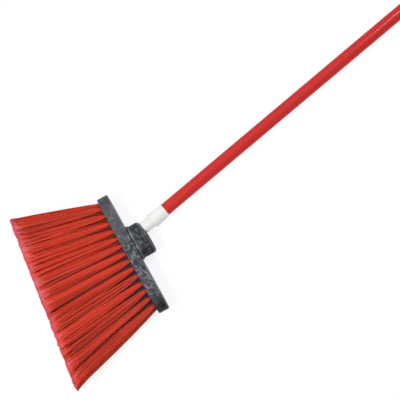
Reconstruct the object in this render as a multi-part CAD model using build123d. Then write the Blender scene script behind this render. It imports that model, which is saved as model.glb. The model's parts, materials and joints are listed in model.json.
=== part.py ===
from build123d import *
import math
import os

# Angle broom lying on a floor, in millimetres and degrees.
# The handle runs towards +X, the short bristles are on the +Y side and +Z points up.
# The head is drawn in a frame of its own: X leaves the block on the handle side,
# Y runs along the block to the short bristles and Z is the depth of the block.

# How far a cutting shape runs past the face it starts from
cut_overrun = 4.0

# Block
block_length = 220.0
block_depth = 46.0
block_thickness = 19.0
block_corner_radius = 20.0
block_top_round = 1.0
block_foot_chamfer = 1.2

# Boss on the block, with a slanted seat for the handle and a square seat beside it
boss_length = 60.0
boss_offset = 14.8
boss_height = 28.9
boss_crown_radius = 40.0
boss_edge_chamfer = 3.0
plinth_height = 5.0
plinth_root = 8.0
plinth_setback = 5.2
plinth_margin = 1.8
plinth_edge_chamfer = 1.0

# Handle thread and its two sockets
handle_lean = 11.1
socket_offset = 25.1
seat_distance = 26.7
thread_diameter = 19.05
thread_length = 25.4
thread_clearance = 0.1
thread_lead_in = 2.0
socket_spare_depth = 2.0
socket_lip = 0.35

# Threaded tip
neck_diameter = 20.8
neck_length = 16.2
shoulder_length = 5.4
collar_diameter = 27.0
mouth_diameter = 24.0
collar_length = 27.6
collar_rim_chamfer = 0.5
cup_depth = 26.0

# Handle
handle_length = 1219.2
tube_diameter = 21.4
tube_wall = 0.6
sleeve_wall = 0.35
sleeve_fit = 0.05
end_fit = 0.05
tube_end_gap = 0.1

# Hang cap
cap_diameter = 24.6
cap_grip = 28.0
eye_length = 32.0
eye_thickness = 13.0
eye_end_radius = 11.7
eye_ramp_start = 4.0
eye_ramp_length = 8.0
eye_hole_diameter = 10.0
eye_hole_setback = 12.3

# Bristles
tuft_pitch = 14.3
row_pitch = 13.0
tuft_end_wall = 4.0
hole_diameter = 7.5
hole_depth = 13.0
tuft_sides = 8
tuft_fit = 0.15
tuft_neck = 3.0
bloom_length = 48.0
bloom_gap = 2.4
tip_gap = 0.6
fan_apex_height = 375.0
fan_apex_offset = -8.0
trim_length = 164.0
trim_angle = 7.5
trim_allowance = 15.0

# Anchor staples
staple_thickness = 0.5
staple_height = 2.0
staple_bite = 0.2
staple_clearance = 0.15
filament_loop = 1.0

# Head, worked out from the sizes above
plinth_depth = block_depth - 2 * plinth_setback
plinth_length = boss_length + 2 * plinth_margin
boss_depth = plinth_depth - 2 * plinth_margin
lean_cos = math.cos(math.radians(handle_lean))
lean_sin = math.sin(math.radians(handle_lean))
handle_axis = Plane(origin=(0, socket_offset, 0), x_dir=(0, 0, 1), z_dir=(lean_cos, lean_sin, 0))
spare_axis = Plane(origin=(0, 0, 0), x_dir=(0, 0, 1), z_dir=(1, 0, 0))
socket_radius = thread_diameter / 2 + thread_clearance
socket_depth = thread_length + socket_spare_depth
trim_normal = Vector(1, 0, 0).rotate(Axis.Z, -trim_angle)
trim_plane = Plane(origin=(-block_thickness - trim_length, 0, 0), x_dir=(0, 0, 1), z_dir=trim_normal)

# Handle, worked out from the sizes above, as distances along its axis and radii
thread_start = seat_distance - thread_length
neck_end = seat_distance + neck_length
collar_start = neck_end + shoulder_length
collar_end = collar_start + collar_length
cup_floor = collar_end - cup_depth
handle_top = thread_start + handle_length
sleeve_end = handle_top - eye_length
sleeve_bore = tube_diameter / 2 + sleeve_fit
sleeve_radius = sleeve_bore + sleeve_wall
end_bore = sleeve_radius + end_fit


def slanted_seat(along):
    # Height over the block of the seat that is square to the handle.
    return (seat_distance - (along - socket_offset) * lean_sin) / lean_cos


def make_boss():
    # The front outline, whose two seats meet in a round crown, is kept inside an oval.
    short_end = boss_offset + boss_length / 2
    long_end = boss_offset - boss_length / 2
    ridge = socket_offset + (seat_distance - boss_height * lean_cos) / lean_sin
    short_corner = (slanted_seat(short_end), short_end)
    long_corner = (boss_height, long_end)
    crown = FilletPolyline(short_corner, (boss_height, ridge), long_corner, radius=boss_crown_radius)
    sides = Polyline(long_corner, (0, long_end), (0, short_end), short_corner)
    front = make_face(crown.edges() + sides.edges())
    oval = Plane.YZ * Pos(boss_offset, 0) * SlotOverall(boss_length, boss_depth)
    boss = extrude(front, boss_depth, both=True) & extrude(oval, boss_height + cut_overrun)
    rim = boss.edges().filter_by(Axis.Z, reverse=True).filter_by(Axis.X, reverse=True)
    rim = rim.filter_by_position(Axis.X, plinth_height, boss_height)
    return chamfer(rim, boss_edge_chamfer)


def make_plinth():
    # Low oval foot of the boss, standing out all round it and sunk into the bar.
    foot = Plane.YZ.offset(-plinth_root) * Pos(boss_offset, 0)
    plinth = extrude(foot * SlotOverall(plinth_length, plinth_depth), plinth_root + plinth_height)
    return chamfer(plinth.edges().group_by(Axis.X)[-1], plinth_edge_chamfer)


def make_bar():
    # Bar with round corners, rounded on the handle side and chamfered on the bristle side.
    outline = Plane.YZ * RectangleRounded(block_length, block_depth, block_corner_radius)
    bar = extrude(outline, -block_thickness)
    bar = fillet(bar.edges().group_by(Axis.X)[-1], block_top_round)
    return chamfer(bar.edges().group_by(Axis.X)[0], block_foot_chamfer)


def make_socket(axis, mouth):
    # Blind bore down from its mouth, with a small lip.
    down = (Align.CENTER, Align.CENTER, Align.MAX)
    bore = Cylinder(socket_radius, socket_depth, align=down)
    lip = Cone(socket_radius, socket_radius + socket_lip, socket_lip, align=down)
    return axis * Pos(0, 0, mouth) * (bore + lip)


def row_places(steps, depth):
    # Evenly pitched tuft places of one row, from the short bristles to the long ones.
    return [(-step * tuft_pitch, depth) for step in steps]


def tuft_axis(along, depth):
    # Every tuft points at one apex above the block, so the tufts fan out below it.
    to_apex = Vector(fan_apex_height, fan_apex_offset - along, -depth)
    return Plane(origin=(-block_thickness, along, depth), x_dir=(0, 0, 1), z_dir=to_apex)


def trim_distance(axis):
    # Distance along a tuft from the block to the trimmed edge.
    return (axis.origin - trim_plane.origin).dot(trim_normal) / axis.z_dir.dot(trim_normal)


def room(axis, distance):
    # Width that the fan leaves for one tuft at a distance from the block.
    upright = axis.z_dir.X
    return tuft_pitch * upright * (1 + distance * upright / fan_apex_height)


def bundle(far, near, far_width, near_width):
    # Stretch of a many-sided bundle that narrows towards the block, measured across its flats.
    section = RegularPolygon(far_width / 2, tuft_sides, major_radius=False, rotation=180 / tuft_sides)
    narrowing = math.degrees(math.atan2((far_width - near_width) / 2, far - near))
    return extrude(Pos(0, 0, -far) * section, far - near, taper=narrowing)


def make_hole(axis):
    # Blind tuft hole along the tuft's own axis.
    return axis * bundle(cut_overrun, -hole_depth, hole_diameter, hole_diameter)


def make_staple(axis, clearance, reach):
    # Flat anchor across the bottom of a hole, inside the fold of the filaments.
    middle = hole_depth - filament_loop - staple_height / 2
    thickness = staple_thickness + 2 * clearance
    return axis * Pos(0, 0, middle) * Box(thickness, reach, staple_height + 2 * clearance)


def make_tuft(axis):
    # Straight in its hole, opening beyond the block, then filling the fan up to the trim.
    root_width = hole_diameter - 2 * tuft_fit
    bloom_width = room(axis, bloom_length) - bloom_gap
    reach = trim_distance(axis) + trim_allowance
    tuft = bundle(reach, bloom_length, room(axis, reach) - tip_gap, bloom_width)
    tuft += bundle(bloom_length, tuft_neck, bloom_width, root_width)
    tuft += bundle(tuft_neck, -hole_depth, root_width, root_width)
    tuft = split(axis * tuft, trim_plane, Keep.TOP)
    return tuft - make_staple(axis, staple_clearance, hole_diameter + cut_overrun)


def make_tip():
    # Turned profile: thread core, neck, shoulder, tapered collar and the cup that takes the tube.
    thread_radius = thread_diameter / 2
    neck_radius = neck_diameter / 2
    collar_radius = collar_diameter / 2
    mouth_radius = mouth_diameter / 2
    outline = Polyline(
        (thread_start, 0),
        (thread_start, thread_radius - thread_lead_in),
        (thread_start + thread_lead_in, thread_radius),
        (seat_distance, thread_radius),
        (seat_distance, neck_radius),
        (neck_end, neck_radius),
        (collar_start, collar_radius),
        (collar_end - collar_rim_chamfer, mouth_radius),
        (collar_end, mouth_radius - collar_rim_chamfer),
        (collar_end, end_bore),
        (cup_floor, end_bore),
        (cup_floor, 0),
        close=True,
    )
    return revolve(make_face(outline), Axis.X)


def make_pipe(outer_radius, inner_radius, start, end):
    # Round pipe on the handle's axis.
    ring = Plane.YZ.offset(start) * (Circle(outer_radius) - Circle(inner_radius))
    return extrude(ring, end - start)


def make_cap():
    # Round grip over the sleeve that flattens into a rounded eye with a hole to hang by.
    cap_radius = cap_diameter / 2
    eye_half = eye_thickness / 2
    grip_start = sleeve_end - cap_grip
    ramp_start = sleeve_end + eye_ramp_start
    ramp_end = ramp_start + eye_ramp_length
    grip = extrude(Plane.YZ.offset(grip_start) * Circle(cap_radius), handle_top - grip_start)
    top_view = Pos((grip_start + handle_top) / 2, 0) * Rectangle(handle_top - grip_start, cap_diameter)
    top_view = fillet(top_view.vertices().group_by(Axis.X)[-1], eye_end_radius)
    side = Polyline(
        (grip_start, cap_radius),
        (ramp_start, cap_radius),
        (ramp_end, eye_half),
        (handle_top, eye_half),
        (handle_top, -eye_half),
        (ramp_end, -eye_half),
        (ramp_start, -cap_radius),
        (grip_start, -cap_radius),
        close=True,
    )
    side_view = Plane.XZ * make_face(side)
    cap = grip & extrude(top_view, cap_radius, both=True) & extrude(side_view, cap_radius, both=True)
    cap -= extrude(Plane.YZ.offset(grip_start) * Circle(end_bore), cap_grip)
    eye = Cylinder(eye_hole_diameter / 2, eye_thickness + cut_overrun)
    cap -= Pos(handle_top - eye_hole_setback, 0, 0) * eye
    return cap


# Places of the tufts: a middle row, and a row before and behind it that stand in its gaps
half_row = int((block_length / 2 - tuft_end_wall - hole_diameter / 2) / tuft_pitch)
middle_steps = range(-half_row, half_row + 1)
outer_steps = [step + 0.5 for step in range(-half_row, half_row)]
rows = {
    "front": row_places(outer_steps, row_pitch),
    "middle": row_places(middle_steps, 0),
    "back": row_places(outer_steps, -row_pitch),
}
axes = {
    f"tuft_{row}_{count:02d}": tuft_axis(along, depth)
    for row, places in rows.items()
    for count, (along, depth) in enumerate(places, 1)
}

# Pieces of the head, in its own frame
block = make_bar() + make_plinth() + make_boss()
block -= make_socket(handle_axis, seat_distance)
block -= make_socket(spare_axis, boss_height)
block -= [make_hole(axis) for axis in axes.values()]
staple_reach = hole_diameter + 2 * staple_bite
head = {name: make_tuft(axis) for name, axis in axes.items()}
head["anchor_staples"] = Compound([make_staple(axis, 0, staple_reach) for axis in axes.values()])
head["block"] = block

# Pieces of the handle, along the X axis
handle = {
    "threaded_tip": make_tip(),
    "handle_tube": make_pipe(
        tube_diameter / 2,
        tube_diameter / 2 - tube_wall,
        cup_floor + tube_end_gap,
        sleeve_end - tube_end_gap,
    ),
    "handle_sleeve": make_pipe(sleeve_radius, sleeve_bore, cup_floor, sleeve_end),
    "hang_cap": make_cap(),
}

# The head turns so that its slanted socket lies on the handle's axis
head_place = Rot(0, 0, -handle_lean) * Pos(0, -socket_offset, 0)
broom = {name: head_place * piece for name, piece in head.items()} | handle


def tip_underside(axis):
    # Lowest point of a tuft at its trimmed end.
    distance = trim_distance(axis)
    drop = Vector(0, 0, (tip_gap - room(axis, distance)) / 2)
    return (head_place * Pos(axis.origin - axis.z_dir * distance + drop)).position


# The broom lies on the back row's two end tufts and on the hang cap
short_support = tip_underside(axes["tuft_back_01"])
long_support = tip_underside(axes[f"tuft_back_{len(outer_steps):02d}"])
cap_support = Vector(sleeve_end + eye_ramp_start, 0, -cap_diameter / 2)
upward = (short_support - cap_support).cross(long_support - cap_support)
floor = Plane(origin=cap_support, x_dir=(1, 0, 0), z_dir=upward)
lying = {name: floor.location.inverse() * piece for name, piece in broom.items()}

# The origin is on the floor, below the middle of the broom
extent = Compound(list(lying.values())).bounding_box()
to_origin = Pos(-extent.center().X, -extent.center().Y, -extent.min.Z)
placed = {name: to_origin * piece for name, piece in lying.items()}

os.makedirs("parts", exist_ok=True)
for name, piece in placed.items():
    export_step(piece, f"parts/{name}.step")
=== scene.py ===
import json
import math

import bmesh
import bpy
import numpy as np
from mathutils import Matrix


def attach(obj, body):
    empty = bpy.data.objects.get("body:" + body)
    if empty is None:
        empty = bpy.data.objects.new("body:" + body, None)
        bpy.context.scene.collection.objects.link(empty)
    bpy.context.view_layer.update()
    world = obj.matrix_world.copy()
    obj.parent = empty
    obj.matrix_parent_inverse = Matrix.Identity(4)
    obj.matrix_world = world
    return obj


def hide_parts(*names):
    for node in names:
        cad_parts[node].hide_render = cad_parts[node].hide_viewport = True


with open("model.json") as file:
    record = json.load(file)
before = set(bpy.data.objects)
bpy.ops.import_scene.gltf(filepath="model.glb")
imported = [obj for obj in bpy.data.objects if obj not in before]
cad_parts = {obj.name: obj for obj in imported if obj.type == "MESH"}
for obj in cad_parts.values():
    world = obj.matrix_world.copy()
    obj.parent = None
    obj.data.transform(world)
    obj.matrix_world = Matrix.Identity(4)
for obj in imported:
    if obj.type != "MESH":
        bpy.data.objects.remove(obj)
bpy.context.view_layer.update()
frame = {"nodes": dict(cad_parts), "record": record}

record = frame["record"]
nodes = frame["nodes"]


def unit(vector):
    # a vector divided by its length
    vector = np.asarray(vector, float)
    return vector / np.linalg.norm(vector)


# Head: "up" leaves the block on the handle side, "along" runs to the short bristles and
# "depth" is square to both. Sizes in the dictionaries are millimetres, but metres in the studio's.
mounts = {mount["name"]: mount for mount in record["mounts"]}
joints = {joint["name"]: joint for joint in record["behaviour"]["joints"]}
headPlace = {"socketMiddle": 15.025}  # middle of the square socket's wall over the block's top

headUp = unit(mounts["spare_socket"]["axis"])
headDepth = unit(mounts["hang_hole"]["axis"])
headAlong = np.cross(headDepth, headUp)
headOrigin = np.array(mounts["spare_socket"]["pos_m"]) - headUp * headPlace["socketMiddle"] / 1000

# Handle: distances run along its axis from the block's top face.
handlePlace = {"seat": 26.7}
handleWay = unit(joints["handle_turn"]["axis"])
handleDepth = unit(headDepth - handleWay * (headDepth @ handleWay))
handleSide = np.cross(handleWay, handleDepth)
handleOrigin = np.array(joints["handle_turn"]["pos_m"]) - handleWay * handlePlace["seat"] / 1000


def linearColour(hexColour):
    # each sRGB channel c of the hex value: c / 12.92 below 0.04045, else ((c + 0.055) / 1.055) ^ 2.4
    channels = np.array([int(hexColour[i:i + 2], 16) for i in (0, 2, 4)]) / 255
    linear = np.where(channels <= 0.04045, channels / 12.92, ((channels + 0.055) / 1.055) ** 2.4)
    return (*linear.tolist(), 1.0)


def addNode(tree, kind, settings=None):
    # one node; a setting is a ramp's stops, an incoming link, an attribute or a socket's value
    node = tree.nodes.new(kind)
    for key, value in (settings or {}).items():
        if key == "stops":
            elements = node.color_ramp.elements
            while len(elements) < len(value):
                elements.new(1.0)
            for element, (position, hexColour) in zip(elements, value):
                element.position = position
                element.color = linearColour(hexColour)
        elif isinstance(value, bpy.types.NodeSocket):
            tree.links.new(value, node.inputs[key])
        elif isinstance(key, str) and hasattr(node, key):
            setattr(node, key, value)
        else:
            node.inputs[key].default_value = value
    return node


def newMaterial(name, settings):
    # a node material with its output and one shader, whose constant values are given by socket
    material = bpy.data.materials.new(name)
    material.use_nodes = True
    tree = material.node_tree
    tree.nodes.clear()
    shader = addNode(tree, "ShaderNodeBsdfPrincipled", settings)
    addNode(tree, "ShaderNodeOutputMaterial", {"Surface": shader.outputs["BSDF"]})
    return material, tree, shader


def meshPiece(name, points, faces, material, uv=None):
    # points in metres; faces is a list of index arrays, each with one row of corners per face
    mesh = bpy.data.meshes.new(name)
    sizes = np.concatenate([np.full(len(group), group.shape[1]) for group in faces])
    corners = np.concatenate([group.ravel() for group in faces])
    mesh.vertices.add(len(points))
    mesh.vertices.foreach_set("co", np.ascontiguousarray(points, np.float32).ravel())
    mesh.loops.add(len(corners))
    mesh.loops.foreach_set("vertex_index", corners.astype(np.int32))
    mesh.polygons.add(len(sizes))
    mesh.polygons.foreach_set("loop_start", (np.cumsum(sizes) - sizes).astype(np.int32))
    mesh.polygons.foreach_set("loop_total", sizes.astype(np.int32))
    mesh.polygons.foreach_set("use_smooth", np.ones(len(sizes), bool))
    if uv is not None:
        layer = mesh.uv_layers.new(name="OFBake")
        layer.data.foreach_set("uv", np.ascontiguousarray(uv, np.float32).ravel())
    mesh.update(calc_edges=True)
    mesh.validate()
    mesh.materials.append(material)
    piece = bpy.data.objects.new(name, mesh)
    bpy.context.scene.collection.objects.link(piece)
    return piece


# Materials

bristleLook = {
    # colours from the cut end, a little darker at the root as painted shade, and factors from the darkest
    # tone to the palest
    "along": ((0.0, "DF6E7A"), (0.034, "EC5348"), (0.085, "DA3D26"), (0.62, "DA3D26"), (0.95, "CC3B27")),
    # the low tones carry painted shade and are cooled, so that shaded strands read neutral
    "tones": ((0.0, "467C8C"), (0.3, "B0D6E2"), (0.6, "ECF4F8"), (1.0, "FFFFFF")),
    "shadeGrey": "3E484B", "shadeGreyRange": (0.05, 0.34),  # tones from all painted-shade grey to none
    "roughness": 0.5, "sheen": 0.2, "ior": 1.5,
}


def bristleMaterial():
    # extruded polyester filament: smooth round threads of solid red, split and frosted pink at the cut
    # end; the tones carry painted shade, down to grey where a strand is darkest
    look = bristleLook
    material, tree, shader = newMaterial("extruded_polyester_filament_red", {
        "Roughness": look["roughness"], "IOR": look["ior"], "Specular IOR Level": look["sheen"],
    })
    place = addNode(tree, "ShaderNodeUVMap", {"uv_map": "OFBake"})
    split = addNode(tree, "ShaderNodeSeparateXYZ", {0: place.outputs["UV"]})
    along = addNode(tree, "ShaderNodeValToRGB", {0: split.outputs["X"], "stops": look["along"]})
    tone = addNode(tree, "ShaderNodeValToRGB", {0: split.outputs["Y"], "stops": look["tones"]})
    toned = addNode(tree, "ShaderNodeMix", {
        "data_type": "RGBA", "blend_type": "MULTIPLY",
        0: 1.0, 6: along.outputs["Color"], 7: tone.outputs["Color"],
    })
    shadeGreyRange = addNode(tree, "ShaderNodeMapRange", {
        "From Min": look["shadeGreyRange"][0], "From Max": look["shadeGreyRange"][1], "Value": split.outputs["Y"],
    })
    shadeGreyed = addNode(tree, "ShaderNodeMix", {
        "data_type": "RGBA",
        0: shadeGreyRange.outputs["Result"], 6: linearColour(look["shadeGrey"]), 7: toned.outputs[2],
    })
    tree.links.new(shadeGreyed.outputs[2], shader.inputs["Base Color"])
    return material


foamLook = {
    "mottle": ((0.3, "323338"), (0.5, "4F5055"), (0.7, "636469")), "mottleMm": 11.0,
    "mottleNoise": {"Detail": 4.0, "Roughness": 0.6, "Distortion": 0.6},
    "wisp": "C6C7CC", "wispMm": 17.0, "wispWidth": 0.075, "wispShare": 0.9,
    "wispNoise": {"Detail": 5.0, "Roughness": 0.62, "Distortion": 1.6},
    "breakMm": 7.0, "breakDetail": 2.0, "break": (0.4, 0.56),
    # share of wisps along the block from its long-bristle end; the foam is darker where there are more
    "gate": (
        (0.0, "585858"), (0.1, "606060"), (0.16, "CACACA"), (0.36, "D0D0D0"),
        (0.45, "FFFFFF"), (0.58, "FFFFFF"), (0.68, "606060"), (1.0, "505050"),
    ),
    # the gate's darkening is the foam's own; the boss and end factors are painted shade
    "gateTone": 0.42, "halfLength": 110.0, "boss": (5.0, 5.8), "bossShade": 0.55,
    "shortEnd": (72.0, 90.0), "shortEndShade": 0.74, "longEnd": (72.0, 88.0), "longEndShade": 0.31,
    # painted edge highlights: colour, by how far the edges face the handle, and by height over the block's
    # top
    "edge": "A0A1A6", "facing": ((0.12, "000000"), (0.4, "FFFFFF"), (0.75, "FFFFFF"), (0.95, "000000")),
    "highlightHeight": ((0.15, "8C8C8C"), (0.3, "E0E0E0"), (0.6, "E0E0E0"), (0.75, "8C8C8C")), "highlightReach": 10.0,
    "roughFrom": (0.3, 0.7), "roughness": (0.34, 0.52), "sheen": 0.15, "ior": 1.49,
    "grainMm": 0.6, "grainDetail": 2.0, "bump": 0.06, "bumpMm": 0.3,
}


def foamMaterial():
    # structural-foam polypropylene, moulded: matt dark grey, mottled, with pale wisps where the gas reached
    # the wall, most of them round the gate at the boss; painted shade on the boss and at the ends, painted
    # highlights on the edges; the grain is drawn coarser than the mould's own, so that it shows
    look = foamLook
    material, tree, shader = newMaterial("structural_foam_polypropylene_moulded", {
        "IOR": look["ior"], "Specular IOR Level": look["sheen"],
    })
    place = addNode(tree, "ShaderNodeTexCoord").outputs["Object"]
    mottle = addNode(tree, "ShaderNodeTexNoise", {
        "Scale": 1000 / look["mottleMm"], **look["mottleNoise"], "Vector": place,
    })
    base = addNode(tree, "ShaderNodeValToRGB", {0: mottle.outputs["Fac"], "stops": look["mottle"]})

    def reach(way):
        # distance in metres from the middle of the block's top face in one direction
        along = addNode(tree, "ShaderNodeVectorMath", {
            "operation": "DOT_PRODUCT", 0: place, 1: tuple(way),
        })
        return addNode(tree, "ShaderNodeMath", {
            "operation": "SUBTRACT", 0: along.outputs["Value"], 1: float(headOrigin @ way),
        }).outputs[0]

    # a wisp is where one noise crosses its middle value, broken up by a second noise
    vein = addNode(tree, "ShaderNodeTexNoise", {
        "Scale": 1000 / look["wispMm"], **look["wispNoise"], "Vector": place,
    })
    off = addNode(tree, "ShaderNodeMath", {"operation": "SUBTRACT", 0: vein.outputs["Fac"], 1: 0.5})
    away = addNode(tree, "ShaderNodeMath", {"operation": "ABSOLUTE", 0: off.outputs[0]})
    line = addNode(tree, "ShaderNodeMapRange", {
        "From Max": look["wispWidth"], "To Min": 1.0, "To Max": 0.0, "Value": away.outputs[0],
    })
    gap = addNode(tree, "ShaderNodeTexNoise", {
        "Scale": 1000 / look["breakMm"], "Detail": look["breakDetail"], "Vector": place,
    })
    broken = addNode(tree, "ShaderNodeMapRange", {
        "From Min": look["break"][0], "From Max": look["break"][1], "Value": gap.outputs["Fac"],
    })
    wisp = addNode(tree, "ShaderNodeMath", {
        "operation": "MULTIPLY", 0: line.outputs["Result"], 1: broken.outputs["Result"],
    })
    half = look["halfLength"] / 1000
    station = addNode(tree, "ShaderNodeMapRange", {
        "From Min": -half, "From Max": half, "Value": reach(headAlong),
    })
    gate = addNode(tree, "ShaderNodeValToRGB", {0: station.outputs["Result"], "stops": look["gate"]})
    strength = addNode(tree, "ShaderNodeMath", {
        "operation": "MULTIPLY", 0: gate.outputs["Color"], 1: look["wispShare"],
    })
    share = addNode(tree, "ShaderNodeMath", {
        "operation": "MULTIPLY", 0: wisp.outputs[0], 1: strength.outputs[0],
    })
    swirled = addNode(tree, "ShaderNodeMix", {
        "data_type": "RGBA", 0: share.outputs[0], 6: base.outputs["Color"], 7: linearColour(look["wisp"]),
    })

    def darkerPast(way, span, tone):
        # a painted-shade factor from 1 to tone between two distances, in mm, in one direction
        return addNode(tree, "ShaderNodeMapRange", {
            "From Min": span[0] / 1000, "From Max": span[1] / 1000, "To Min": 1.0, "To Max": tone,
            "Value": reach(way),
        }).outputs["Result"]

    gateShade = addNode(tree, "ShaderNodeMapRange", {
        "To Min": 1.0, "To Max": look["gateTone"], "Value": gate.outputs["Color"],
    })
    # painted shade: darker on the boss, which stands back from the block's face, and on the block's rounded
    # ends
    factors = [
        gateShade.outputs["Result"],
        darkerPast(headUp, look["boss"], look["bossShade"]),
        darkerPast(headAlong, look["shortEnd"], look["shortEndShade"]),
        darkerPast(-headAlong, look["longEnd"], look["longEndShade"]),
    ]
    colour = swirled.outputs[2]
    for factor in factors:
        scaled = addNode(tree, "ShaderNodeVectorMath", {"operation": "SCALE", 0: colour, "Scale": factor})
        colour = scaled.outputs["Vector"]

    # painted highlights: edges that face half towards the handle are painted paler, most of all the
    # plinth's
    normal = addNode(tree, "ShaderNodeNewGeometry").outputs["Normal"]
    facing = addNode(tree, "ShaderNodeVectorMath", {
        "operation": "DOT_PRODUCT", 0: normal, 1: tuple(headUp),
    })
    edge = addNode(tree, "ShaderNodeValToRGB", {0: facing.outputs["Value"], "stops": look["facing"]})
    height = addNode(tree, "ShaderNodeMapRange", {
        "From Max": look["highlightReach"] / 1000, "Value": reach(headUp),
    })
    highlightHeight = addNode(tree, "ShaderNodeValToRGB", {0: height.outputs["Result"], "stops": look["highlightHeight"]})
    highlightShare = addNode(tree, "ShaderNodeMath", {
        "operation": "MULTIPLY", 0: edge.outputs["Color"], 1: highlightHeight.outputs["Color"],
    })
    highlighted = addNode(tree, "ShaderNodeMix", {
        "data_type": "RGBA", 0: highlightShare.outputs[0], 6: colour, 7: linearColour(look["edge"]),
    })
    tree.links.new(highlighted.outputs[2], shader.inputs["Base Color"])
    rough = addNode(tree, "ShaderNodeMapRange", {
        "From Min": look["roughFrom"][0], "From Max": look["roughFrom"][1],
        "To Min": look["roughness"][0], "To Max": look["roughness"][1], "Value": mottle.outputs["Fac"],
    })
    tree.links.new(rough.outputs["Result"], shader.inputs["Roughness"])
    grain = addNode(tree, "ShaderNodeTexNoise", {
        "Scale": 1000 / look["grainMm"], "Detail": look["grainDetail"], "Vector": place,
    })
    bump = addNode(tree, "ShaderNodeBump", {
        "Strength": look["bump"], "Distance": look["bumpMm"] / 1000, "Height": grain.outputs["Fac"],
    })
    tree.links.new(bump.outputs["Normal"], shader.inputs["Normal"])
    return material


nylonLook = {
    "cloud": ((0.35, "DEDDD3"), (0.6, "E1E0D7")), "cloudMm": 12.0, "cloudDetail": 3.0,
    "roughness": (0.52, 0.62), "gloss": 0.3, "bloom": 0.8, "bloomRoughness": 0.6, "ior": 1.53,
    "grainMm": 0.6, "grainDetail": 2.0, "bump": 0.05, "bumpMm": 0.2,
}


def nylonMaterial():
    # moulded nylon: milky white that stays pale at its edges, with a faint warm cloud, a soft satin skin
    # and the same coarse grain
    look = nylonLook
    material, tree, shader = newMaterial("moulded_nylon_white", {
        "IOR": look["ior"], "Specular IOR Level": look["gloss"],
        "Sheen Weight": look["bloom"], "Sheen Roughness": look["bloomRoughness"],
    })
    place = addNode(tree, "ShaderNodeTexCoord").outputs["Object"]
    cloud = addNode(tree, "ShaderNodeTexNoise", {
        "Scale": 1000 / look["cloudMm"], "Detail": look["cloudDetail"], "Vector": place,
    })
    colour = addNode(tree, "ShaderNodeValToRGB", {0: cloud.outputs["Fac"], "stops": look["cloud"]})
    tree.links.new(colour.outputs["Color"], shader.inputs["Base Color"])
    rough = addNode(tree, "ShaderNodeMapRange", {
        "To Min": look["roughness"][0], "To Max": look["roughness"][1], "Value": cloud.outputs["Fac"],
    })
    tree.links.new(rough.outputs["Result"], shader.inputs["Roughness"])
    grain = addNode(tree, "ShaderNodeTexNoise", {
        "Scale": 1000 / look["grainMm"], "Detail": look["grainDetail"], "Vector": place,
    })
    bump = addNode(tree, "ShaderNodeBump", {
        "Strength": look["bump"], "Distance": look["bumpMm"] / 1000, "Height": grain.outputs["Fac"],
    })
    tree.links.new(bump.outputs["Normal"], shader.inputs["Normal"])
    return material


skinLook = {
    "streak": ((0.3, "BC2522"), (0.62, "C42824")), "lineMm": 2.5, "runMm": 400.0, "lineDetail": 3.0,
    "roughness": (0.45, 0.57), "sheen": 0.12, "gloss": 0.28, "glossRoughness": 0.13, "ior": 1.49,
    "bump": 0.03, "bumpMm": 0.1,
}


def skinMaterial():
    # extruded polypropylene skin: glossy red with faint long streaks left by the die
    look = skinLook
    material, tree, shader = newMaterial("extruded_polypropylene_skin_red", {
        "IOR": look["ior"], "Specular IOR Level": look["sheen"],
        "Coat Weight": look["gloss"], "Coat Roughness": look["glossRoughness"],
    })
    place = addNode(tree, "ShaderNodeTexCoord").outputs["Object"]
    drawn = addNode(tree, "ShaderNodeMapping", {
        "Scale": (1000 / look["runMm"], 1000 / look["lineMm"], 1000 / look["lineMm"]), "Vector": place,
    })
    line = addNode(tree, "ShaderNodeTexNoise", {
        "Scale": 1.0, "Detail": look["lineDetail"], "Vector": drawn.outputs["Vector"],
    })
    colour = addNode(tree, "ShaderNodeValToRGB", {0: line.outputs["Fac"], "stops": look["streak"]})
    tree.links.new(colour.outputs["Color"], shader.inputs["Base Color"])
    rough = addNode(tree, "ShaderNodeMapRange", {
        "To Min": look["roughness"][0], "To Max": look["roughness"][1], "Value": line.outputs["Fac"],
    })
    tree.links.new(rough.outputs["Result"], shader.inputs["Roughness"])
    bump = addNode(tree, "ShaderNodeBump", {
        "Strength": look["bump"], "Distance": look["bumpMm"] / 1000, "Height": line.outputs["Fac"],
    })
    tree.links.new(bump.outputs["Normal"], shader.inputs["Normal"])
    return material


steelLook = {"spangle": ((0.1, "C4C6C8"), (0.9, "A4A7AA")), "spangleMm": 7.0, "roughness": (0.3, 0.45)}


def steelMaterial():
    # zinc-coated steel strip: pale grey metal with a faint spangle
    look = steelLook
    material, tree, shader = newMaterial("zinc_coated_steel", {"Metallic": 1.0})
    place = addNode(tree, "ShaderNodeTexCoord").outputs["Object"]
    spangle = addNode(tree, "ShaderNodeTexVoronoi", {"Scale": 1000 / look["spangleMm"], "Vector": place})
    away = spangle.outputs["Distance"]
    colour = addNode(tree, "ShaderNodeValToRGB", {0: away, "stops": look["spangle"]})
    tree.links.new(colour.outputs["Color"], shader.inputs["Base Color"])
    rough = addNode(tree, "ShaderNodeMapRange", {
        "To Min": look["roughness"][0], "To Max": look["roughness"][1], "Value": away,
    })
    tree.links.new(rough.outputs["Result"], shader.inputs["Roughness"])
    return material


bristleRed = bristleMaterial()
foamGrey = foamMaterial()
nylonWhite = nylonMaterial()
skinRed = skinMaterial()
zincSteel = steelMaterial()
print("materials made")

# Bristles: the filaments are drawn thick and few, to stay within the limit of triangles

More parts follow.
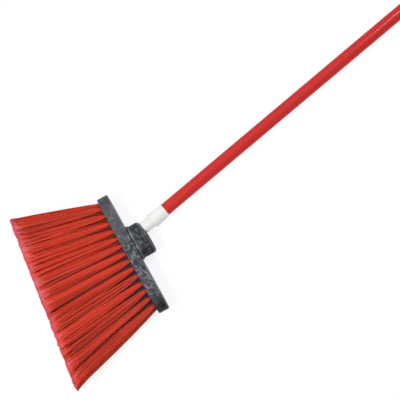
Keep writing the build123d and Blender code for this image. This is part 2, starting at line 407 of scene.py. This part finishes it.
tuftSettings = {
    "rows": {"front": (14, 13.0), "middle": (15, 0.0), "back": (14, -13.0)},  # count, depth
    "firstSeed": 11,
    # the point that the tufts fan out from, and the plane that cuts them
    "pitch": 14.3, "blockThickness": 19.0, "apexHeight": 375.0, "apexAlong": -8.0,
    "trimLength": 164.0, "trimAngle": 7.5,
    # half widths of a tuft: in its hole, at its neck, half open, open and at the cut
    "start": -8.0, "rootRadius": 3.5, "holeFit": 0.1, "neck": 3.0, "halfWay": 0.45, "halfOpen": 0.6,
    "bloom": 48.0, "bloomGap": 1.6, "tipGap": -3.0, "flatness": 0.7,
    # the fan's sides and faces, each with its place at the block and its slope
    "shortSide": (107.5, 0.316), "longSide": (104.8, 0.288), "faceSide": (16.8, 0.064),
    "sideSoftness": 3.0, "undercut": 4.0, "undercutDepth": (-4.0, 8.0), "endLean": 12.0, "endFrom": 98.0,
    # strands
    "filaments": 170, "thickness": 0.8, "sides": 4, "rimDensity": 0.42, "endTaper": 0.8,
    "rings": (0.0, 0.07, 0.16, 0.3, 0.52, 0.74, 0.86, 0.94, 1.0),
    "clumps": 17, "clumpInset": 0.9, "clumpPull": (0.4, 0.85), "clumpDrift": 0.12, "clumpBow": 0.5,
    "scatter": 0.06, "loose": 0.08, "looseReach": 1.1, "bow": 0.35,
    "lean": 1.7, "leanShare": (0.6, 1.0), "leanCurve": 1.5,
    "splay": 0.85, "splayFrom": 0.84, "splayReach": 1.18, "splayCurve": 1.5,
    # cut ends
    "ragged": 0.9, "clumpRagged": 2.6, "clumpTrim": 0.3,
    "stray": 0.03, "strayLength": 2.2, "strayShare": (0.3, 1.0),
    # split hairs
    "hairs": 10, "hairThickness": 0.44, "hairTaper": 0.35, "hairRings": 3, "hairSides": 3,
    "flagLength": (5.0, 17.0), "hairRagged": 0.8, "hairSpread": 3.0, "hairSpreadShare": (0.7, 0.45),
    "hairCurve": 1.4,
    # tones of the strands, with painted shade at the roots, in the crevices between tufts and in the fan's
    # core
    "toneGroups": 48, "groupTone": (0.5, 1.0), "toneSpread": 0.08, "clumpTone": 0.06,
    "dark": 0.06, "darkTone": 0.5, "lowTone": 0.2, "topTone": 0.93, "tipLift": 0.6, "tipLength": 24.0,
    "rootShade": 1.2, "shadeLength": 46.0, "outerDepth": 16.5, "innerFrom": 0.1, "innerCurve": 1.5,
    "creviceShade": 0.24, "creviceLength": 50.0, "creviceFrom": 0.5, "creviceSpan": 0.4,
    "coreShade": 0.5, "coreFrom": 0.45, "coreSpan": 0.6, "coreFade": 35.0, "coreStart": (5.0, 50.0),
    "openSide": 95.0, "shadeAlong": (-20.0, 45.0), "shadeAlongShare": (1.0, 0.4),
    # how far down the strand its pale end reaches
    "flagDrift": 3.0, "flagGroupDrift": 6.0, "flagAlong": (-100.0, 100.0), "flagShift": (9.0, 0.5),
    "coreFlag": 10.0,
    # the map: number of tones, length that it covers, and room at its ends and across a strand
    "tones": 16, "uvLength": 200.0, "uvRoom": (0.003, 0.98), "acrossRoom": (0.15, 0.7), "capRoom": 0.01,
}


def strandGrid(count, rings, sides):
    # numbers of the strand, the ring and the side for every quad
    return np.meshgrid(np.arange(count), np.arange(rings - 1), np.arange(sides), indexing="ij")


def strandFaces(count, rings, sides, first):
    # quads between the rings of each strand, and one cap at each end; "first" is the first point's number
    strand, ring, side = strandGrid(count, rings, sides)
    base = first + strand * rings * sides
    here = base + ring * sides + side
    beside = base + ring * sides + (side + 1) % sides
    walls = np.stack([here, beside, beside + sides, here + sides], -1).reshape(-1, 4)
    starts = first + np.arange(count)[:, None] * rings * sides
    around = np.arange(sides)[None, :]
    near = starts + around[:, ::-1]
    far = starts + (rings - 1) * sides + around
    return walls, near, far


def strandUv(tones, alongUv, sides):
    # u is the distance from the cut end, and v the tone at that ring with a little room across the sides
    s = tuftSettings
    inset, room = s["acrossRoom"]
    strand, ring, side = strandGrid(*tones.shape, sides)
    across = inset + room * np.stack([side, side + 1, side + 1, side], -1) / sides
    tone = np.stack([tones[strand, ring]] * 2 + [tones[strand, ring + 1]] * 2, -1)
    v = (tone + across) / s["tones"]
    u = np.stack([alongUv[strand, ring]] * 2 + [alongUv[strand, ring + 1]] * 2, -1)
    parts = [np.stack([u, v], -1).reshape(-1, 2)]
    lap = np.arange(sides)[None, :] / sides
    for end in (0, -1):
        capU = alongUv[:, end, None] + s["capRoom"] * lap
        capV = (tones[:, end, None] + inset + room * lap) / s["tones"]
        parts.append(np.stack([capU, capV], -1).reshape(-1, 2))
    return np.concatenate(parts)


def strandPoints(lines, radii, sides, turn, acrossA, acrossB):
    # rings round every point of every line: line + radius * (cos a * acrossA + sin a * acrossB)
    angles = turn[:, None] + 2 * np.pi * np.arange(sides) / sides
    ringA = np.cos(angles)[:, None, :, None] * acrossA
    ringB = np.sin(angles)[:, None, :, None] * acrossB
    return (lines[:, :, None, :] + radii[:, :, None, None] * (ringA + ringB)).reshape(-1, 3)


def bristleTuft(name, along, depth, seed):
    # A filament keeps its place (x, y) in the unit disc of its tuft, drawn towards a clump that drifts.
    # Its point at d is root + d * outward + r(d) * (x * acrossA + y * acrossB) + bow + lean, where r(d) is
    # the tuft's half width.
    s = tuftSettings
    draw = np.random.default_rng(seed)
    count = s["filaments"]
    toApex = unit([s["apexHeight"], s["apexAlong"] - along, -depth])
    outward = -toApex
    acrossA = unit(np.cross([0, 1, 0], outward))
    acrossB = np.cross(outward, acrossA)
    root = np.array([-s["blockThickness"], along, depth])
    trimTurn = math.radians(s["trimAngle"])
    trimWay = np.array([math.cos(trimTurn), -math.sin(trimTurn), 0])
    trimSpot = np.array([-s["blockThickness"] - s["trimLength"], 0, 0])
    upright = toApex[0]

    def halfRoom(distance):
        # half the pitch, square to the tuft, which grows in proportion to the distance from the apex
        return s["pitch"] * upright * (1 + distance * upright / s["apexHeight"]) / 2

    reach = ((trimSpot - root) @ trimWay) / (outward @ trimWay)
    bloomHalf = halfRoom(s["bloom"]) - s["bloomGap"] / 2
    knots = np.array([s["start"], s["neck"], s["halfWay"] * s["bloom"], s["bloom"], reach])
    halves = np.array([
        s["rootRadius"] - s["holeFit"], s["rootRadius"],
        (1 - s["halfOpen"]) * s["rootRadius"] + s["halfOpen"] * bloomHalf,
        bloomHalf, halfRoom(reach) - s["tipGap"] / 2,
    ])

    def sunflower(number):
        # places in the unit disc, a little denser at its rim: each turned on by the golden angle, with the
        # radius (order / number) ^ rimDensity
        order = np.arange(number) + 0.5
        turn = order * np.pi * (3 - math.sqrt(5)) + draw.uniform(0, 2 * np.pi)
        return (order / number)[:, None] ** s["rimDensity"] * np.stack([np.cos(turn), np.sin(turn)], -1)

    def squared(place):
        # the open tuft is squeezed square by its neighbours: times (r / larger of |x| and |y|) ^ flatness,
        # where a tiny length keeps the middle from dividing by nothing
        size = np.linalg.norm(place, axis=1, keepdims=True) + 1e-6
        return place * (size / (np.abs(place).max(1, keepdims=True) + 1e-6)) ** s["flatness"]

    # places at the root and at the cut end, in the unit disc
    rootPlace = sunflower(count)
    clumpPlace = s["clumpInset"] * sunflower(s["clumps"])
    clump = np.argmin(((rootPlace[:, None] - clumpPlace[None]) ** 2).sum(-1), 1)
    clumpEnd = clumpPlace + draw.normal(0, s["clumpDrift"], clumpPlace.shape)
    pull = draw.uniform(*s["clumpPull"], s["clumps"])[clump][:, None]
    endPlace = clumpEnd[clump] + (1 - pull) * (rootPlace - clumpPlace[clump])
    endPlace = endPlace + draw.normal(0, s["scatter"], (count, 2))
    loose = draw.random(count) < s["loose"]
    looseTurn = draw.uniform(0, 2 * np.pi, count)
    loosePlace = np.stack([np.cos(looseTurn), np.sin(looseTurn)], -1)
    loosePlace = loosePlace * (s["looseReach"] * np.sqrt(draw.random(count)))[:, None]
    endPlace = squared(np.where(loose[:, None], loosePlace, endPlace))
    freePlace = s["splayReach"] * squared(rootPlace)

    # the middle row's two end tufts open to the front as well, so that they fill the fan's sides
    forward = s["endLean"] * (abs(along) > s["endFrom"]) * np.clip((1 + endPlace[:, 0]) / 2, 0, 1)
    lean = draw.normal(0, s["lean"], 2) * s["leanShare"] + np.stack([forward, np.zeros(count)], -1)

    def heldIn(line):
        # a point past the fan's sides and faces comes back by past - soft * (1 - e ^ (-past / soft)), and
        # the lower strands of the two sides come in further, by the undercut
        down = -s["blockThickness"] - line[..., 0]
        soft = s["sideSoftness"]
        limits = ((1, 1, "shortSide"), (1, -1, "longSide"), (2, 1, "faceSide"), (2, -1, "faceSide"))
        undercut = np.interp(line[..., 2], s["undercutDepth"], (s["undercut"], 0))
        for way, sign, side in limits:
            limit = s[side][0] + s[side][1] * down - undercut * (way == 1)
            past = np.maximum(sign * line[..., way] - limit + soft, 0)
            line[..., way] -= sign * (past - soft * (1 - np.exp(-past / soft)))
        return line

    def strandLine(distance, keep):
        # points of the kept filaments at the given distances from the root
        share = np.clip(distance / reach, 0, 1)[..., None]
        opening = np.clip(distance / s["bloom"], 0, 1)[..., None]
        place = rootPlace[keep][:, None] + (endPlace - rootPlace)[keep][:, None] * np.sqrt(share)
        late = np.clip((share - s["splayFrom"]) / (1 - s["splayFrom"]), 0, 1) ** s["splayCurve"]
        place = place + s["splay"] * late * (freePlace - endPlace)[keep][:, None]
        flat = np.interp(distance, knots, halves)[..., None] * place
        flat = flat + lean[keep][:, None] * share ** s["leanCurve"]
        sway = clumpBow[clump[keep]][:, None] + bow[keep][:, None]
        flat = flat + sway * np.sin(np.pi * share) * opening
        return root + distance[..., None] * outward + flat[..., :1] * acrossA + flat[..., 1:] * acrossB

    clumpBow = draw.normal(0, s["clumpBow"], (s["clumps"], 2))
    bow = draw.normal(0, s["bow"], (count, 2))
    everyOne = np.arange(count)

    # cut ends on the trimmed plane, a little ragged, shorter in the clumps that bow, with a few strays
    atReach = heldIn(strandLine(np.full((count, 1), reach), everyOne))[:, 0]
    ends = reach + ((trimSpot - atReach) @ trimWay) / (outward @ trimWay)
    ends = ends - np.abs(draw.normal(0, s["ragged"], count))
    ends = ends + s["clumpRagged"] * (s["clumpTrim"] - np.abs(clumpBow[clump, 0]))
    strays = draw.random(count) < s["stray"]
    ends = ends + strays * draw.uniform(*s["strayShare"], count) * s["strayLength"]
    splits = ends - draw.uniform(*s["flagLength"], count)

    # main strands from inside the hole to the cut
    steps = np.array(s["rings"])
    rings = len(steps)
    distance = s["start"] + (ends[:, None] - s["start"]) * steps
    lines = heldIn(strandLine(distance, everyOne))
    radii = s["thickness"] / 2 * np.where(steps == 1, s["endTaper"], 1.0) * np.ones((count, 1))
    turn = draw.uniform(0, 2 * np.pi, count)
    points = strandPoints(lines, radii, s["sides"], turn, acrossA, acrossB)

    # split hairs near the cut: the strand's line + (its edge + spread * share ^ hairCurve) outwards
    hairs = s["hairs"]
    total = count * hairs
    owner = np.repeat(everyOne, hairs)
    hairRings = s["hairRings"]
    hairSteps = np.linspace(0, 1, hairRings)
    hairStart = splits[owner]
    hairEnd = ends[owner] - np.abs(draw.normal(0, s["hairRagged"], total))
    hairDistance = hairStart[:, None] + (hairEnd - hairStart)[:, None] * hairSteps
    spreadTurn = draw.uniform(0, 2 * np.pi, total)
    spread = s["hairSpread"] * np.abs(draw.normal(*s["hairSpreadShare"], total))
    spreadWay = np.cos(spreadTurn)[:, None] * acrossA + np.sin(spreadTurn)[:, None] * acrossB
    rootSpread = (s["thickness"] - s["hairThickness"]) / 2
    fan = rootSpread + spread[:, None] * hairSteps ** s["hairCurve"]
    hairLines = heldIn(strandLine(hairDistance, owner) + fan[..., None] * spreadWay[:, None])
    hairRadii = s["hairThickness"] / 2 * (1 - s["hairTaper"] * hairSteps)[None] * np.ones((total, 1))
    hairTurn = draw.uniform(0, 2 * np.pi, total)
    hairPoints = strandPoints(hairLines, hairRadii, s["hairSides"], hairTurn, acrossA, acrossB)

    # tones go with fine groups of strands, and a few single strands are dark
    groupPlace = sunflower(s["toneGroups"])
    group = np.argmin(((rootPlace[:, None] - groupPlace[None]) ** 2).sum(-1), 1)
    tone = draw.uniform(*s["groupTone"], s["toneGroups"])[group] + draw.normal(0, s["toneSpread"], count)
    tone = tone + draw.normal(0, s["clumpTone"], s["clumps"])[clump]
    tone = np.maximum(tone - s["darkTone"] * (draw.random(count) < s["dark"]), s["lowTone"])

    # painted shade darkens the strands between neighbouring tufts, the inner strands and the fan's core,
    # more of it towards the long bristles; the fan's two sides get none
    rootDepth = depth + s["rootRadius"] * rootPlace[:, 0]
    rootAlong = along + s["rootRadius"] * rootPlace[:, 1]
    covered = np.clip((s["openSide"] - np.abs(rootAlong)) / s["rootRadius"], 0, 1)
    shadeWeight = covered * np.interp(rootAlong, s["shadeAlong"], s["shadeAlongShare"])
    inner = np.clip(1 - np.abs(rootDepth) / s["outerDepth"] - s["innerFrom"], 0, 1) ** s["innerCurve"]
    inner = inner * shadeWeight
    crevice = np.clip((np.abs(rootPlace[:, 1]) - s["creviceFrom"]) / s["creviceSpan"], 0, 1) * covered
    outside = np.sign(depth) * endPlace[:, 0]
    core = np.clip((s["coreFrom"] - outside) / s["coreSpan"], 0, 1)

    # the frosted pink ends are the filament's own; that they reach further down the outer, lit strands than
    # into the shaded core is painted light, and they reach less far on the long bristles
    flagDrift = draw.normal(0, s["flagDrift"], count) + np.interp(along, s["flagAlong"], s["flagShift"])
    flagDrift = flagDrift + draw.normal(0, s["flagGroupDrift"], s["toneGroups"])[group]
    flagDrift = flagDrift + s["coreFlag"] * (core - 0.5)
    core = core * shadeWeight

    def tonesAt(distance, keep):
        # the strand's tone, less the painted shade at the root, in the crevice and in the core, and lifted
        # near the cut
        shade = s["rootShade"] * inner[keep][:, None] * np.clip(1 - distance / s["shadeLength"], 0, 1)
        between = np.clip(1 - distance / s["creviceLength"], 0, 1)
        shade = shade + s["creviceShade"] * crevice[keep][:, None] * between
        fromCut = ends[keep][:, None] - distance
        deep = np.clip(fromCut / s["coreFade"], 0, 1) * np.interp(distance, s["coreStart"], (0, 1))
        shade = shade + s["coreShade"] * core[keep][:, None] * deep
        lift = s["tipLift"] * np.clip(1 - fromCut / s["tipLength"], 0, 1)
        return np.clip(tone[keep][:, None] - shade + lift, 0, s["topTone"]) * s["tones"]

    def shareAt(distance, keep):
        # the distance from the cut end, plus the strand's drift, over the length that the map covers
        fromCut = ends[keep][:, None] - distance + flagDrift[keep][:, None]
        return np.clip(fromCut / s["uvLength"], *s["uvRoom"])

    walls, near, far = strandFaces(count, rings, s["sides"], 0)
    hairWalls, hairNear, hairFar = strandFaces(total, hairRings, s["hairSides"], len(points))
    uv = np.concatenate([
        strandUv(tonesAt(distance, everyOne), shareAt(distance, everyOne), s["sides"]),
        strandUv(tonesAt(hairDistance, owner), shareAt(hairDistance, owner), s["hairSides"]),
    ])
    upPart, alongPart, depthPart = np.split(np.concatenate([points, hairPoints]) / 1000, 3, axis=1)
    placed = headOrigin + upPart * headUp + alongPart * headAlong + depthPart * headDepth
    return meshPiece(name, placed, [walls, near, far, hairWalls, hairNear, hairFar], bristleRed, uv)


seed = tuftSettings["firstSeed"]
for row, (tuftCount, depth) in tuftSettings["rows"].items():
    for number in range(tuftCount):
        along = tuftSettings["pitch"] * ((tuftCount - 1) / 2 - number)
        label = f"{row}_{number + 1:02d}"
        tuft = bristleTuft(f"bristles_{label}", along, depth, seed)
        seed += 1
        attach(tuft, "head")
        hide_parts(f"tuft_{label}")
print("bristles made")

# Block: the CAD solid, merged and shaded so that its chamfers read as soft moulded edges

blockSettings = {"sharpAngle": 62.0, "mergeMm": 0.004, "flatWeight": 60}


def smoothCopy(name, node, material, settings):
    # a copy of a node's mesh with its points merged, smooth up to an angle, with large faces kept flat
    mesh = nodes[node].data.copy()
    mesh.name = name
    work = bmesh.new()
    work.from_mesh(mesh)
    bmesh.ops.remove_doubles(work, verts=work.verts, dist=settings["mergeMm"] / 1000)
    work.to_mesh(mesh)
    work.free()
    if mesh.has_custom_normals:
        mesh.attributes.remove(mesh.attributes["custom_normal"])
    mesh.polygons.foreach_set("use_smooth", np.ones(len(mesh.polygons), bool))
    mesh.set_sharp_from_angle(angle=math.radians(settings["sharpAngle"]))
    mesh.materials.clear()
    mesh.materials.append(material)
    piece = bpy.data.objects.new(name, mesh)
    bpy.context.scene.collection.objects.link(piece)
    weigh = piece.modifiers.new("flat_faces", "WEIGHTED_NORMAL")
    weigh.keep_sharp = True
    weigh.weight = settings["flatWeight"]
    return piece


block = smoothCopy("moulded_block", "block", foamGrey, blockSettings)
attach(block, "head")
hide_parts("block")
print("block made")

# Threaded tip: one turned profile, with a helical thread below its seat

threadSettings = {
    "lead": 5.08, "crestRadius": 9.42, "rootRadius": 7.9, "crestWidth": 1.6, "flank": 0.42,
}
tipSettings = {
    "threadStart": 1.3, "seat": handlePlace["seat"], "neckEnd": 42.9, "collarStart": 48.3,
    "collarEnd": 75.9, "cupFloor": 49.9, "neckRadius": 10.4, "collarRadius": 13.5,
    "mouthRadius": 12.0, "cupRadius": 11.15, "leadIn": 2.0, "around": 72,
    "rim": 0.7, "rimSteps": 6, "seatRound": 0.4, "seatGap": 0.02,
    # distances below the seat: end of the thread, its rings' step, end and length of its fade, and groove
    "threadStop": 1.6, "step": 0.21, "fadeStop": 2.2, "fade": 1.5, "groove": 1.4,
    "shoulderEase": 0.8, "shoulderSteps": 14, "mouthFlare": (0.3, 0.05), "floorHole": 0.6,
}


def threadShare(along, turn, shift):
    # height of the thread from 0 to 1: a trapezoid of the distance to the nearest helix line
    t = threadSettings
    phase = (along / t["lead"] - turn / (2 * np.pi) + shift) % 1.0
    away = np.abs(phase - 0.5) * t["lead"]
    return np.clip((t["crestWidth"] / 2 + t["flank"] - away) / t["flank"], 0, 1)


def turnedPoints(stations, radii, axis):
    # origin + station * way + radius * (cos turn * depthWay + sin turn * sideWay), one row for each ring
    origin, way, depthWay, sideWay = axis
    turn = np.linspace(0, 2 * np.pi, stations.shape[1], endpoint=False)[None, :]
    ring = np.cos(turn)[..., None] * depthWay + np.sin(turn)[..., None] * sideWay
    return origin + (stations[..., None] * way + radii[..., None] * ring) / 1000


def turnedFaces(rings, around, closed):
    # quads between each ring and the next, and from the last ring back to the first in a closed profile
    row = np.arange(rings if closed else rings - 1)[:, None]
    lap = np.arange(around)[None, :]
    nextLap = (lap + 1) % around
    here, after = row * around, (row + 1) % rings * around
    return np.stack([here + lap, here + nextLap, after + nextLap, after + lap], -1).reshape(-1, 4)


def turnedSolid(name, stations, radii, axis, material):
    # a turned surface whose two ends close on the axis
    rings, around = stations.shape
    points = turnedPoints(stations, radii, axis)
    ends = [axis[0] + stations[end].mean() * axis[1] / 1000 for end in (0, -1)]
    lap = np.arange(around)
    nextLap = (lap + 1) % around
    first, last = rings * around, (rings - 1) * around
    near = np.stack([np.full(around, first), nextLap, lap], -1)
    far = np.stack([np.full(around, first + 1), last + lap, last + nextLap], -1)
    walls = turnedFaces(rings, around, False)
    return meshPiece(name, np.concatenate([points.reshape(-1, 3), ends]), [walls, near, far], material)


def turnedShell(name, stations, radii, axis, material):
    # a closed profile turned about the axis, as a pipe or a ring
    walls = turnedFaces(*stations.shape, True)
    return meshPiece(name, turnedPoints(stations, radii, axis).reshape(-1, 3), [walls], material)


handleAxis = (handleOrigin, handleWay, handleDepth, handleSide)
spareAxis = (headOrigin, headUp, headDepth, np.cross(headUp, headDepth))


def tipPiece():
    # r(x, turn): thread trapezoid below the seat, then neck, smooth shoulder, collar, round rim and cup
    s, t = tipSettings, threadSettings
    seat, neck, collar = s["seat"], s["neckRadius"], s["collarRadius"]
    mouth, cup = s["mouthRadius"], s["cupRadius"]
    turn = np.linspace(0, 2 * np.pi, s["around"], endpoint=False)[None, :]
    threadRings = np.arange(s["threadStart"], seat - s["threadStop"], s["step"])
    threadAlong = threadRings[:, None] * np.ones_like(turn)
    height = threadShare(threadAlong, turn, 0.0)
    fade = np.clip((seat - s["fadeStop"] - threadAlong) / s["fade"], 0, 1)
    threadRadius = t["rootRadius"] + (t["crestRadius"] - t["rootRadius"]) * height * fade
    leadIn = t["crestRadius"] - s["leadIn"] + (threadAlong - s["threadStart"])
    threadRadius = np.minimum(threadRadius, leadIn)
    corner = np.linspace(0, np.pi / 2, s["rimSteps"])
    bend = np.linspace(0, 1, s["shoulderSteps"])
    shoulder = bend * bend * (3 - 2 * bend)
    rim, soft, ease = s["rim"], s["seatRound"], s["shoulderEase"]
    shoulderLength = s["collarStart"] - s["neckEnd"] + 2 * ease
    flareDepth, flare = s["mouthFlare"]
    profile = np.concatenate([
        [(seat - s["groove"], t["rootRadius"]), (seat - s["seatGap"], t["rootRadius"])],
        np.stack([seat + soft - soft * np.cos(corner), neck - soft + soft * np.sin(corner)], -1),
        np.stack([s["neckEnd"] - ease + shoulderLength * bend, neck + (collar - neck) * shoulder], -1),
        np.stack([s["collarEnd"] - rim + rim * np.sin(corner), mouth - rim + rim * np.cos(corner)], -1),
        [(s["collarEnd"], cup + flare), (s["collarEnd"] - flareDepth, cup)],
        [(s["cupFloor"], cup), (s["cupFloor"], s["floorHole"])],
    ])
    stations = np.concatenate([threadAlong, profile[:, :1] * np.ones_like(turn)])
    radii = np.concatenate([threadRadius, profile[:, 1:] * np.ones_like(turn)])
    return turnedSolid("threaded_tip_moulding", stations, radii, handleAxis, nylonWhite)


tip = tipPiece()
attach(tip, "handle")
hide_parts("threaded_tip")
print("tip made")

# Socket threads: the ridges inside the boss that the tip screws into, half a lead from the tip's own

socketSettings = {
    "slanted": (handleAxis, -0.6, 26.3), "straight": (spareAxis, 1.6, 28.5),  # axis, floor and mouth
    "wall": 9.505, "ridge": 8.1, "backWall": 9.75, "around": 72, "step": 0.21, "mouthFade": 2.0,
}


def socketThread(name, axis, floor, mouth):
    # r(x, turn): wall less the thread trapezoid, fading at the mouth, and back along the hidden outer wall
    s = socketSettings
    turn = np.linspace(0, 2 * np.pi, s["around"], endpoint=False)[None, :]
    along = np.arange(floor, mouth, s["step"])[:, None] * np.ones_like(turn)
    height = threadShare(along, turn, 0.5) * np.clip((mouth - along) / s["mouthFade"], 0, 1)
    inside = s["wall"] - (s["wall"] - s["ridge"]) * height
    back = np.array([along[-1, 0], floor])[:, None] * np.ones_like(turn)
    stations = np.concatenate([back[::-1], along[::-1]])
    radii = np.concatenate([np.full_like(back, s["backWall"]), inside[::-1]])
    return turnedShell(name, stations, radii, axis, foamGrey)


for socketName in ("slanted", "straight"):
    socket = socketThread(f"{socketName}_socket_thread", *socketSettings[socketName])
    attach(socket, "head")
print("socket threads made")

# Handle skin: a long thin tube, whose two ends the tip and the cap cover

skinSettings = {
    "start": 49.9, "end": 1188.5, "outer": 11.1, "inner": 10.75, "around": 64, "steps": 40, "edge": 0.4,
}


def skinPiece():
    # a ring profile carried along the handle's axis: out along the outer wall and back along the inner one
    s = skinSettings
    out = np.linspace(s["start"], s["end"], s["steps"])
    out = np.concatenate([out[:1], out[:1] + s["edge"], out[1:-1], out[-1:] - s["edge"], out[-1:]])
    stations = np.concatenate([[s["start"]], out, [s["end"]]])
    radii = np.concatenate([[s["inner"]], np.full(len(out), s["outer"]), [s["inner"]]])
    lap = np.ones((1, s["around"]))
    return turnedShell("handle_skin", stations[:, None] * lap, radii[:, None] * lap, handleAxis, skinRed)


skin = skinPiece()
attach(skin, "handle")
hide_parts("handle_sleeve")
print("handle skin made")

# Hang cap: the CAD solid with its edges rounded

capSettings = {
    "sharpAngle": 40.0, "mergeMm": 0.004, "flatWeight": 60, "flatAngle": 2.0,
    "round": 1.2, "roundAngle": 35.0, "roundSteps": 3,
}


def roundedCap():
    # the cap's copy with its flat triangles joined and its edges rounded by a bevel
    s = capSettings
    piece = smoothCopy("hang_cap_moulding", "hang_cap", skinRed, s)
    work = bmesh.new()
    work.from_mesh(piece.data)
    bmesh.ops.dissolve_limit(
        work, angle_limit=math.radians(s["flatAngle"]), verts=work.verts, edges=work.edges
    )
    work.to_mesh(piece.data)
    work.free()
    piece.data.set_sharp_from_angle(angle=math.pi)
    soften = piece.modifiers.new("rounded_edges", "BEVEL")
    soften.limit_method = "ANGLE"
    soften.angle_limit = math.radians(s["roundAngle"])
    soften.width = s["round"] / 1000
    soften.segments = s["roundSteps"]
    soften.use_clamp_overlap = True
    piece.modifiers.move(1, 0)
    return piece


cap = roundedCap()
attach(cap, "handle")
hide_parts("hang_cap")

for node in ("handle_tube", "anchor_staples"):
    nodes[node].data.materials.clear()
    nodes[node].data.materials.append(zincSteel)
print("cap and steel pieces made")

# Studio: white floor that keeps the shadow, a broad soft ceiling on the short-bristle side, a key beyond
# the bristle tips, a narrow cool window over the handle's far end, and the photo's camera

stageSettings = {
    "floorSize": 30.0, "floorColour": "7C7C7C", "floorLift": 0.84, "bounceColour": "E6E6E6",
    "worldLight": 0.36, "lampAim": (-0.4, 0.0, 0.0),
    "ceiling": {"power": 21.0, "width": 4.0, "length": 3.0, "spot": (-0.4, 2.0, 2.4), "colour": "FFFFFF"},
    "key": {"power": 47.0, "width": 0.9, "length": 0.9, "spot": (-1.7, 0.38, 2.5), "colour": "FFFFFF"},
    "window": {"power": 23.0, "width": 0.2, "length": 0.35, "spot": (0.77, 0.57, 2.53), "colour": "D8E8FF"},
}
cameraSettings = {
    "lens": 120.0, "sensor": 36.0, "mmPerPixel": 1.70, "pixels": 400, "handleAngle": 40.09,
    "blockPixel": (138.06, 251.32),  # where the middle of the block's top face is in the photo
}


def floorPiece():
    # flat square sheet at height 0: grey paper lifted to white, with its shadow, for the camera and in
    # reflections, and pale paper for the light that it bounces back
    s = stageSettings
    material = bpy.data.materials.new("matt_paper_white")
    material.use_nodes = True
    tree = material.node_tree
    tree.nodes.clear()
    matt = addNode(tree, "ShaderNodeBsdfDiffuse", {"Color": linearColour(s["floorColour"])})
    pale = addNode(tree, "ShaderNodeBsdfDiffuse", {"Color": linearColour(s["bounceColour"])})
    glow = addNode(tree, "ShaderNodeEmission", {"Strength": s["floorLift"]})
    lifted = addNode(tree, "ShaderNodeAddShader", {0: matt.outputs[0], 1: glow.outputs[0]})
    path = addNode(tree, "ShaderNodeLightPath")
    seen = addNode(tree, "ShaderNodeMath", {
        "operation": "MAXIMUM", 0: path.outputs["Is Camera Ray"], 1: path.outputs["Is Glossy Ray"],
    })
    seenOrThrough = addNode(tree, "ShaderNodeMath", {
        "operation": "MAXIMUM", 0: seen.outputs[0], 1: path.outputs["Is Transmission Ray"],
    })
    pick = addNode(tree, "ShaderNodeMixShader", {
        0: seenOrThrough.outputs[0], 1: pale.outputs[0], 2: lifted.outputs[0],
    })
    addNode(tree, "ShaderNodeOutputMaterial", {"Surface": pick.outputs[0]})
    half = s["floorSize"] / 2
    corners = np.array([(-half, -half, 0), (half, -half, 0), (half, half, 0), (-half, half, 0)])
    return meshPiece("floor_sheet", corners, [np.array([[0, 1, 2, 3]])], material)


floor = floorPiece()

scene = bpy.context.scene
world = bpy.data.worlds.new("studio")
scene.world = world
world.use_nodes = True
worldTree = world.node_tree
worldTree.nodes.clear()
white = linearColour("FFFFFF")
worldLight = stageSettings["worldLight"]
fill = addNode(worldTree, "ShaderNodeBackground", {"Color": white, "Strength": worldLight})
seenWorld = addNode(worldTree, "ShaderNodeBackground", {"Color": white, "Strength": 1.0})
worldPath = addNode(worldTree, "ShaderNodeLightPath")
worldPick = addNode(worldTree, "ShaderNodeMixShader", {
    0: worldPath.outputs["Is Camera Ray"], 1: fill.outputs[0], 2: seenWorld.outputs[0],
})
addNode(worldTree, "ShaderNodeOutputWorld", {"Surface": worldPick.outputs[0]})

for lampName in ("ceiling", "key", "window"):
    lampSettings = stageSettings[lampName]
    lampData = bpy.data.lights.new(lampName, "AREA")
    lampData.shape = "RECTANGLE"
    lampData.size = lampSettings["width"]
    lampData.size_y = lampSettings["length"]
    lampData.energy = lampSettings["power"]
    lampData.color = linearColour(lampSettings["colour"])[:3]
    lamp = bpy.data.objects.new(lampName, lampData)
    scene.collection.objects.link(lamp)
    lamp.location = lampSettings["spot"]
    lamp.visible_camera = False
    aim = unit(np.array(lampSettings["spot"]) - np.array(stageSettings["lampAim"]))
    lamp.rotation_euler = (math.asin(-aim[1]), math.atan2(aim[0], aim[2]), 0)

# the camera looks straight down, turned so that the handle runs as in the photo
turnBack = math.radians(cameraSettings["handleAngle"])
imageRight = np.array([math.cos(turnBack), -math.sin(turnBack)])
imageUp = np.array([math.sin(turnBack), math.cos(turnBack)])
pixelSize = cameraSettings["mmPerPixel"] / 1000
middle = cameraSettings["pixels"] / 2
blockRight, blockDown = cameraSettings["blockPixel"]
offset = np.array([blockRight - middle, middle - blockDown]) * pixelSize
frameCentre = headOrigin[:2] - offset[0] * imageRight - offset[1] * imageUp
distance = cameraSettings["pixels"] * pixelSize * cameraSettings["lens"] / cameraSettings["sensor"]
cameraData = bpy.data.cameras.new("photo_camera")
cameraData.lens = cameraSettings["lens"]
cameraData.sensor_width = cameraSettings["sensor"]
camera = bpy.data.objects.new("photo_camera", cameraData)
scene.collection.objects.link(camera)
camera.location = (*frameCentre, headOrigin[2] + distance)
camera.rotation_euler = (0, 0, -turnBack)
scene.camera = camera
scene.view_settings.view_transform = "Standard"
print("studio made")
